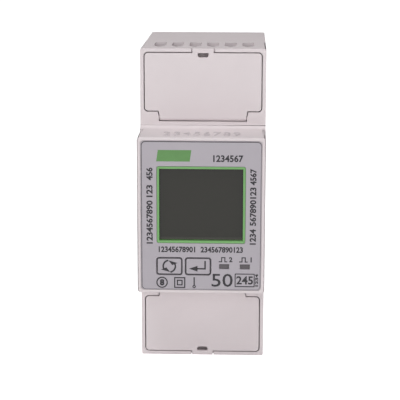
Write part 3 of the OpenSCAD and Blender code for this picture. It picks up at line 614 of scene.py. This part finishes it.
@dataclass
class Artwork:
    """Flat shapes on a plane, gathered as thin closed plates of one mesh.

    A shape is drawn in two coordinates, across and up. The plane is given by its origin,
    its across and up directions and its outward direction, all in millimetres. Each plate
    stands proud of the plane and is sunk under it.
    """

    origin: Triple = (0.0, FILM_Y, 0.0)
    across: Triple = (1.0, 0.0, 0.0)
    up: Triple = (0.0, 0.0, 1.0)
    out: Triple = (0.0, -1.0, 0.0)
    proud: float = 0.02
    sunk: float = 0.02
    points: list[np.ndarray] = field(default_factory=list)
    faces: list[list[int]] = field(default_factory=list)
    count: int = 0

    def lift(self, flat: np.ndarray, height: float | np.ndarray) -> np.ndarray:
        """Places flat points: origin + x times across + y times up + height times out.

        Args:
            flat: Points across and up, one row each.
            height: Their height over the plane, one for all or a column.

        Returns:
            The places, one row each.
        """
        return (
            np.array(self.origin)
            + flat[:, :1] * np.array(self.across)
            + flat[:, 1:2] * np.array(self.up)
            + height * np.array(self.out)
        )

    def add(self, points: np.ndarray, faces: Iterable[Sequence[int]]) -> None:
        """Appends a closed mesh to the artwork.

        Args:
            points: Its corner places, one row each.
            faces: Corner numbers of each face.
        """
        self.faces.extend([[i + self.count for i in face] for face in faces])
        self.points.append(points)
        self.count += len(points)

    def ring(self, outer: np.ndarray, inner: np.ndarray) -> None:
        """Adds a closed band between two loops of the same number of points.

        The four loops, outer and inner at both heights, are joined in turn all the way round.

        Args:
            outer: Points of the outer loop, counter-clockwise.
            inner: The points of the inner loop that face them.
        """
        rings = [
            self.lift(outer, -self.sunk),
            self.lift(outer, self.proud),
            self.lift(inner, self.proud),
            self.lift(inner, -self.sunk),
        ]
        n = len(outer)
        i = np.arange(n)
        j = (i + 1) % n
        faces = [
            np.stack([a * n + i, a * n + j, b * n + j, b * n + i], axis=1)
            for a, b in ((0, 1), (1, 2), (2, 3), (3, 0))
        ]
        self.add(np.concatenate(rings), np.concatenate(faces).tolist())

    def band(
        self,
        centre: Pair,
        size: Triple,
        line: float,
        inner_radius: float | None = None,
        steps: int = 6,
    ) -> None:
        """Adds a line of constant width inside a rectangle with round corners.

        Args:
            centre: The rectangle's middle.
            size: Its width, height and corner radius.
            line: Width of the line.
            inner_radius: The line's inner corner radius, or None to follow the outer one.
            steps: Steps in a corner.
        """
        w, h, r = size
        inner = r - line if inner_radius is None else inner_radius
        self.ring(
            round_loop(centre, w, h, r, steps),
            round_loop(centre, w - 2 * line, h - 2 * line, inner, steps),
        )

    def plate(self, outline: Sequence[Pair] | np.ndarray) -> None:
        """Adds a closed plate: its outline at both heights, with a wall round it and two caps.

        Args:
            outline: Points of a convex outline, in turn.
        """
        flat = np.array(outline)
        n = len(flat)
        i = np.arange(n)
        j = (i + 1) % n
        walls = np.stack([i, j, n + j, n + i], axis=1).tolist()
        caps = [list(range(n, 2 * n)), list(range(n - 1, -1, -1))]
        both = [self.lift(flat, -self.sunk), self.lift(flat, self.proud)]
        self.add(np.concatenate(both), walls + caps)

    def stroke(self, line: Sequence[Pair] | np.ndarray, width: float) -> None:
        """Adds an open line of constant width with mitred corners.

        Each side runs at half the width from the line, along the corner's bisector divided
        by the cosine of half its turn.

        Args:
            line: Points along the line.
            width: Width of the line.
        """
        path = np.array(line, float)
        step = np.diff(path, axis=0)
        step /= np.linalg.norm(step, axis=1)[:, None]
        normal = np.stack([-step[:, 1], step[:, 0]], axis=1)
        before = np.concatenate([normal[:1], normal])
        after = np.concatenate([normal, normal[-1:]])
        bisector = before + after
        bisector /= (bisector * before).sum(axis=1)[:, None]
        sides = np.concatenate([path - bisector * width / 2, path + bisector * width / 2])
        n = len(path)
        top = 2 * n
        a = np.arange(n - 1)
        b, c, d = a + 1, a + n + 1, a + n
        quads = [
            [a + top, b + top, c + top, d + top],
            [d, c, b, a],
            [a, b, b + top, a + top],
            [c, d, d + top, c + top],
        ]
        faces = np.concatenate([np.stack(quad, axis=1) for quad in quads]).tolist()
        ends = [[n, 0, top, top + n], [n - 1, top - 1, top + top - 1, top + n - 1]]
        both = [self.lift(sides, -self.sunk), self.lift(sides, self.proud)]
        self.add(np.concatenate(both), faces + ends)

    def digits(self, row: Digits) -> None:
        """Adds plain digits of Blender's own typeface as closed plates.

        The text is made a mesh, brought to its middle and width, and then turned about it.

        Args:
            row: What to write, where and how large.
        """
        curve = bpy.data.curves.new("digits", "FONT")
        curve.body = row.text
        curve.size = row.height / DIGIT_SHARE
        curve.extrude = (self.proud + self.sunk) / 2
        curve.offset = row.bold
        curve.resolution_u = DIGIT_STEPS
        holder = bpy.data.objects.new("digits", curve)
        mesh = bpy.data.meshes.new_from_object(holder)
        bpy.data.objects.remove(holder)
        bpy.data.curves.remove(curve)
        places = np.empty(len(mesh.vertices) * 3)
        mesh.vertices.foreach_get("co", places)
        places = places.reshape(-1, 3)
        faces = [list(polygon.vertices) for polygon in mesh.polygons]
        bpy.data.meshes.remove(mesh)
        places -= (places.min(0) + places.max(0)) / 2
        natural = np.ptp(places[:, 0])
        places[:, 0] *= row.wide if row.length is None else row.length / natural
        c, s = math.cos(math.radians(row.turn)), math.sin(math.radians(row.turn))
        flat = places[:, :2] @ np.array([[c, s], [-s, c]]) + np.array(row.centre)
        self.add(self.lift(flat, (self.proud - self.sunk) / 2 + places[:, 2:]), faces)

    def build(
        self,
        shop: Workshop,
        name: str,
        finish: Finish,
        slot: Slot,
        body: Body = Body.HOUSING,
    ) -> None:
        """Makes the gathered shapes one piece, with normals made to point outwards.

        Args:
            shop: The workshop that makes it.
            name: The piece's name.
            finish: Its finish.
            slot: The record's slot that it belongs to; not used.
            body: The body that it rides on.
        """
        obj = shop.piece(name, np.concatenate(self.points), self.faces, finish, body)
        mesh = bmesh.new()
        mesh.from_mesh(obj.data)
        bmesh.ops.remove_doubles(mesh, verts=mesh.verts, dist=MERGE_M)
        bmesh.ops.recalc_face_normals(mesh, faces=mesh.faces)
        mesh.to_mesh(obj.data)
        mesh.free()


@dataclass
class Housing:
    """Finishes of the CAD nodes, and soft edges of the moulded ones."""

    soft_nodes: tuple[str, ...] = ("front_housing", "base_housing", "upper_flap", "lower_flap")
    edge: float = 0.14
    edge_steps: int = 2
    edge_angle: float = 35.0
    weld: float = 0.001

    def dress(self, shop: Workshop) -> None:
        """Gives every CAD node the finish of its slot and softens the moulded edges.

        Args:
            shop: The workshop that makes the materials.
        """
        rows = frame["record"]["subparts"]
        slots = {row["node"]: Slot(row["material_slot"]) for row in rows}
        for name, obj in frame["nodes"].items():
            obj.data.materials.clear()
            obj.data.materials.append(shop.material(FINISHES[slots[name]]))
            if name in self.soft_nodes:
                self.soften(obj)
        LOG.info("%d nodes dressed", len(frame["nodes"]))

    def soften(self, obj: bpy.types.Object) -> None:
        """Rounds a node's edges: its loose triangles are welded, then sharp edges bevelled.

        Args:
            obj: The node's object.
        """
        weld = obj.modifiers.new("weld", "WELD")
        weld.merge_threshold = self.weld * MM
        bevel = obj.modifiers.new("soft_edges", "BEVEL")
        bevel.width = self.edge * MM
        bevel.segments = self.edge_steps
        bevel.limit_method = "ANGLE"
        bevel.angle_limit = math.radians(self.edge_angle)
        bevel.harden_normals = True


@dataclass
class FaceFilm:
    """Everything that is printed on the film in front of the nose, and the painted shadow in the
    gap round the film.
    """

    key_size: Triple = (7.4, 5.2, 0.85)
    key_line: float = 0.09
    # Painted shadow in the gap round the film: width, height and corner radius, then its widths
    # on the left, right, top and bottom, and the inset of its inner corners.
    edge: Triple = (33.16, 42.0, 1.1)
    gap_shade_sides: tuple[float, float, float, float] = (0.16, 0.1, 0.2, 0.07)
    gap_shade_inset: float = 0.1
    pulse_lefts: Pair = (4.97, 10.65)
    pulse_steps: tuple[float, ...] = (0.0, 0.82, 0.82, 1.72, 1.72, 2.4)
    pulse_levels: tuple[float, ...] = (-12.95, -12.95, -11.75, -11.75, -12.95, -12.95)
    pulse_line: float = 0.3
    circle_centre: Pair = (-10.88, -19.06)
    circle_radii: Pair = (1.62, 1.27)
    square_centre: Pair = (-5.93, -19.08)
    square_sides: Pair = (3.15, 1.65)
    square_radii: Pair = (0.05, 0.03)
    square_line: float = 0.34
    stem: tuple[Pair, Pair] = ((-1.88, -17.5), (-1.88, -19.85))
    stem_line: float = 0.36
    bulb_centre: Pair = (-1.88, -20.2)
    bulb_radii: Pair = (0.48, 0.18)
    bulb_steps: int = 20
    box_centre: Pair = (12.25, -18.25)
    box_size: Triple = (5.6, 3.9, 0.15)
    box_line: float = 0.275
    box_inner_radius: float = 0.1
    bar: tuple[Pair, ...] = ((-12.4, 15.4), (-3.15, 15.4), (-2.7, 18.6), (-11.95, 18.6))
    rows: tuple[Digits, ...] = (
        Digits("2", (8.32, -12.32), 1.35, bold=0.07),
        Digits("1", (14.0, -12.32), 1.35, bold=0.07),
        Digits("8", (-10.88, -19.06), 1.6, bold=0.14),
        Digits("50", (5.95, -18.3), 3.7, bold=0.04, wide=1.2),
        Digits("245", (12.25, -18.25), 2.25),
        Digits("1234", (15.6, -18.2), 0.8, turn=90.0, bold=0.04, wide=1.7),
        Digits("12345678901", (-6.7, -9.52), 1.5, length=10.2),
        Digits("234567890123", (5.8, -9.52), 1.5, length=11.8),
        Digits("1234567", (7.45, 16.3), 1.75, length=8.3),
        Digits("1234567890", (-14.3, -1.8), 1.6, length=12.3, turn=90.0),
        Digits("123", (-14.3, 7.03), 1.6, length=3.45, turn=90.0),
        Digits("456", (-14.3, 11.85), 1.6, length=3.6, turn=90.0),
        Digits("1234", (14.4, -5.75), 1.6, length=4.4, turn=90.0),
        Digits("567890123", (14.4, 2.85), 1.6, length=10.9, turn=90.0),
        Digits("4567", (14.4, 11.2), 1.6, length=4.6, turn=90.0),
    )

    def build(self, shop: Workshop) -> None:
        """Makes the dark print with the painted shadow of the film's gap, and the green field.

        Args:
            shop: The workshop that makes them.
        """
        art = Artwork()
        for centre in (SCROLL_CENTRE, ENTER_CENTRE):
            art.band(centre, self.key_size, self.key_line)
        # Painted shadow in the gap round the film, drawn with the dark print.
        self.paint_gap_shadow(art)
        self.pulse_marks(art)
        self.lower_marks(art)
        for row in self.rows:
            art.digits(row)
        art.build(shop, "film_print_and_gap_shadow", PRINT_INK_AND_GAP_SHADE, Slot.BLACK)
        field_art = Artwork()
        field_art.plate(self.bar)
        field_art.build(shop, "film_green_bar", GREEN_INK, Slot.GREEN)

    def paint_gap_shadow(self, art: Artwork) -> None:
        """Paints the shadow in the gap round the film as a dark line, widest above and thinnest
        below.

        Args:
            art: The artwork that takes it.
        """
        w, h, r = self.edge
        left, right, top, bottom = self.gap_shade_sides
        middle = ((left - right) / 2, (bottom - top) / 2)
        inner = round_loop(middle, w - left - right, h - top - bottom, r - self.gap_shade_inset)
        art.ring(round_loop((0.0, 0.0), w, h, r), inner)

    def pulse_marks(self, art: Artwork) -> None:
        """Draws a square pulse over each pulse light.

        Args:
            art: The artwork that takes them.
        """
        for left in self.pulse_lefts:
            across = left + np.array(self.pulse_steps)
            art.stroke(np.stack([across, self.pulse_levels], axis=1), self.pulse_line)

    def lower_marks(self, art: Artwork) -> None:
        """Draws the signs under the keys: a circle, two squares, a stem with a bulb, a box.

        Args:
            art: The artwork that takes them.
        """
        art.ring(*(circle_loop(self.circle_centre, radius) for radius in self.circle_radii))
        outer, inner = self.square_radii
        for side in self.square_sides:
            art.band(self.square_centre, (side, side, outer), self.square_line, inner, 1)
        art.stroke(self.stem, self.stem_line)
        art.ring(*(circle_loop(self.bulb_centre, r, self.bulb_steps) for r in self.bulb_radii))
        art.band(self.box_centre, self.box_size, self.box_line, self.box_inner_radius, 2)


@dataclass
class KeySigns:
    """The signs on the two keys: two arrows in a circle, and a bent arrow."""

    cap_size: Triple = (6.88, 4.68, 0.58)
    cap_line: float = 0.2
    arrow_centre: Pair = (-8.85, -14.39)
    arrow_radius: float = 1.7
    arrow_arc: Pair = (-80.0, 24.0)
    arrow_steps: int = 22
    arrow_line: float = 0.46
    head_angles: Pair = (22.0, 98.0)
    head_half: float = 0.82
    bent_line: float = 0.42
    bent_path: tuple[Pair, ...] = ((1.16, -12.77), (1.16, -15.03), (-1.2, -15.03))
    bent_head: tuple[Pair, ...] = ((-0.95, -14.2), (-3.35, -15.03), (-0.95, -15.86))

    def build(self, shop: Workshop) -> None:
        """Makes each key's sign as a piece that moves with the key.

        Args:
            shop: The workshop that makes them.
        """
        scroll = Artwork()
        scroll.band(SCROLL_CENTRE, self.cap_size, self.cap_line)
        for turn in (0.0, 180.0):
            self.round_arrow(scroll, turn)
        scroll.build(shop, "scroll_key_sign", PRINT_INK_AND_GAP_SHADE, Slot.BLACK, Body.SCROLL_KEY)
        enter = Artwork()
        enter.band(ENTER_CENTRE, self.cap_size, self.cap_line)
        enter.stroke(self.bent_path, self.bent_line)
        enter.plate(self.bent_head)
        enter.build(shop, "enter_key_sign", PRINT_INK_AND_GAP_SHADE, Slot.BLACK, Body.ENTER_KEY)

    def round_arrow(self, art: Artwork, turn: float) -> None:
        """Draws an arc that ends in a pointed head.

        Args:
            art: The artwork that takes it.
            turn: Turn of the arrow about the sign's middle, in degrees.
        """
        centre, radius = self.arrow_centre, self.arrow_radius
        angles = np.linspace(*self.arrow_arc, self.arrow_steps) + turn
        art.stroke(on_circle(centre, radius, angles), self.arrow_line)
        foot, tip = (angle + turn for angle in self.head_angles)
        art.plate(
            np.array(
                [
                    on_circle(centre, radius + self.head_half, foot),
                    on_circle(centre, radius, tip),
                    on_circle(centre, radius - self.head_half, foot),
                ]
            )
        )


@dataclass
class ShelfNumbers:
    """Plain digits moulded on top of the nose, one above each signal terminal and two more."""

    text: str = "23456789"
    pitch: float = 2.78
    height: float = 5.2
    bold: float = 0.06
    wide: float = 0.6
    root_z: float = 22.4
    draft: float = 0.3
    depth: float = 9.2
    proud: float = 0.15
    sunk: float = 0.05

    def build(self, shop: Workshop) -> None:
        """Makes the raised digits on the face, which falls by its draft towards the film.

        Args:
            shop: The workshop that makes them.
        """
        fall = self.draft / (NOSE_ROOT_Y - FILM_Y)
        slope = math.atan(fall)
        art = Artwork(
            origin=(0.0, NOSE_ROOT_Y - self.depth, self.root_z - self.depth * fall),
            up=(0.0, math.cos(slope), math.sin(slope)),
            out=(0.0, -math.sin(slope), math.cos(slope)),
            proud=self.proud,
            sunk=self.sunk,
        )
        middle = (len(self.text) - 1) / 2
        for k, digit in enumerate(self.text):
            place = ((k - middle) * self.pitch, 0.0)
            art.digits(Digits(digit, place, self.height, bold=self.bold, wide=self.wide))
        # The digits are a little darker than the face round them: painted shade of their relief.
        art.build(shop, "shelf_numbers", PAINTED_SHADE_RELIEF, Slot.HOUSING)


@dataclass(frozen=True)
class Lamp:
    """A soft rectangular lamp: its place and size in millimetres and its power in watts."""

    name: str
    place: Triple
    size: Pair
    power: float


@dataclass
class Studio:
    """Floor, world, lamps and camera."""

    target: Triple = (-0.780, -44.0, 1.503)
    azimuth: float = 1.896
    elevation: float = 12.063
    roll: float = 0.133
    distance: float = 403.8
    lens: float = 126.52
    sensor: float = 36.0
    floor_z: float = -45.0
    floor_half: float = 6000.0
    floor_paint: float = 0.82
    floor_shown: float = 0.97
    floor_glow: float = 0.26
    world_shown: float = 1.0
    horizon: float = 0.16
    zenith: float = 0.12
    lamps: tuple[Lamp, ...] = (
        Lamp("key_light", (-240.0, -740.0, 250.0), (560.0, 300.0), 1.15),
        Lamp("fill_light", (360.0, -700.0, 85.0), (560.0, 250.0), 0.75),
        Lamp("left_light", (-560.0, -170.0, 40.0), (300.0, 300.0), 0.5),
        Lamp("right_light", (560.0, -170.0, 40.0), (300.0, 300.0), 0.5),
        Lamp("top_light", (-60.0, -290.0, 620.0), (420.0, 420.0), 2.4),
    )

    def build(self) -> None:
        """Sets up the whole studio."""
        self.world()
        self.floor()
        for lamp in self.lamps:
            self.light(lamp)
        self.camera()
        bpy.context.scene.view_settings.view_transform = "Standard"

    def shown(self, tree: Tree) -> Socket:
        """Tells rays that show the background, straight, mirrored or through glass, from others.

        Args:
            tree: The node tree that asks.

        Returns:
            A socket that is 1 for such a ray and 0 for one that only lights the object.
        """
        path = add_node(tree, "ShaderNodeLightPath").outputs
        seen = path["Is Camera Ray"]
        for kind in ("Is Transmission Ray", "Is Glossy Ray"):
            pair = {0: seen, 1: path[kind]}
            seen = add_node(tree, "ShaderNodeMath", {"operation": "MAXIMUM"}, pair).outputs[0]
        return seen

    def world(self) -> None:
        """Makes a plain world: white where it is seen, and a weak tent of light elsewhere."""
        world = bpy.data.worlds.new("studio_world")
        bpy.context.scene.world = world
        world.use_nodes = True
        tree = world.node_tree
        tree.nodes.clear()
        direction = add_node(tree, "ShaderNodeTexCoord").outputs["Generated"]
        height = add_node(tree, "ShaderNodeSeparateXYZ", inputs={"Vector": direction})
        tent = add_node(
            tree,
            "ShaderNodeMapRange",
            inputs={
                "Value": height.outputs["Z"],
                "To Min": self.horizon,
                "To Max": self.zenith,
            },
        )
        strength = add_node(
            tree,
            "ShaderNodeMapRange",
            inputs={
                "Value": self.shown(tree),
                "To Min": tent.outputs["Result"],
                "To Max": self.world_shown,
            },
        )
        light = add_node(
            tree,
            "ShaderNodeBackground",
            inputs={"Color": WHITE, "Strength": strength.outputs["Result"]},
        )
        add_node(tree, "ShaderNodeOutputWorld", inputs={"Surface": light.outputs["Background"]})

    def floor(self) -> None:
        """Makes a pale floor that shows white where it is seen and keeps the meter's shadow."""
        half, z = self.floor_half * MM, self.floor_z * MM
        corners = [(-half, -half, z), (half, -half, z), (half, half, z), (-half, half, z)]
        mesh = bpy.data.meshes.new("floor")
        mesh.from_pydata(corners, [], [(0, 1, 2, 3)])
        obj = bpy.data.objects.new("floor", mesh)
        bpy.context.scene.collection.objects.link(obj)
        material = bpy.data.materials.new("pale_floor")
        material.use_nodes = True
        tree = material.node_tree
        tree.nodes.clear()
        paint = add_node(
            tree, "ShaderNodeBsdfDiffuse", inputs={"Color": (*[self.floor_paint] * 3, 1.0)}
        )
        strength = add_node(
            tree,
            "ShaderNodeMapRange",
            inputs={
                "Value": self.shown(tree),
                "To Min": self.floor_glow,
                "To Max": self.floor_shown,
            },
        )
        glow = add_node(
            tree,
            "ShaderNodeEmission",
            inputs={"Color": WHITE, "Strength": strength.outputs["Result"]},
        )
        both = add_node(
            tree,
            "ShaderNodeAddShader",
            inputs={0: paint.outputs["BSDF"], 1: glow.outputs["Emission"]},
        )
        add_node(tree, "ShaderNodeOutputMaterial", inputs={"Surface": both.outputs["Shader"]})
        mesh.materials.append(material)

    def light(self, lamp: Lamp) -> None:
        """Adds a lamp that points at the meter's front.

        Args:
            lamp: The lamp.
        """
        light = bpy.data.lights.new(lamp.name, "AREA")
        light.shape = "RECTANGLE"
        light.size, light.size_y = (side * MM for side in lamp.size)
        light.energy = lamp.power
        obj = bpy.data.objects.new(lamp.name, light)
        obj.location = Vector(lamp.place) * MM
        aim = (Vector(self.target) - Vector(lamp.place)) * MM
        obj.rotation_euler = aim.to_track_quat("-Z", "Y").to_euler()
        bpy.context.scene.collection.objects.link(obj)

    def camera(self) -> None:
        """Places the camera by its angles and distance from the target, with its small roll."""
        a, e, r = (math.radians(v) for v in (self.azimuth, self.elevation, self.roll))
        back = Vector((math.sin(a) * math.cos(e), -math.cos(a) * math.cos(e), math.sin(e)))
        right = Vector((math.cos(a), math.sin(a), 0.0))
        up = back.cross(right)
        side = math.cos(r) * right + math.sin(r) * up
        top = -math.sin(r) * right + math.cos(r) * up
        data = bpy.data.cameras.new("camera")
        data.lens = self.lens
        data.sensor_width = self.sensor
        obj = bpy.data.objects.new("camera", data)
        turn = Matrix((side, top, back)).transposed().to_4x4()
        turn.translation = (Vector(self.target) + self.distance * back) * MM
        obj.matrix_world = turn
        bpy.context.scene.collection.objects.link(obj)
        bpy.context.scene.camera = obj


def main() -> None:
    """Builds the classes in order."""
    logging.basicConfig(level=logging.INFO, format="%(name)s: %(message)s")
    shop = Workshop()
    Studio().build()
    Housing().dress(shop)
    FaceFilm().build(shop)
    KeySigns().build(shop)
    ShelfNumbers().build(shop)
    LOG.info("%d new pieces", shop.made)


if __name__ == "__main__":
    main()
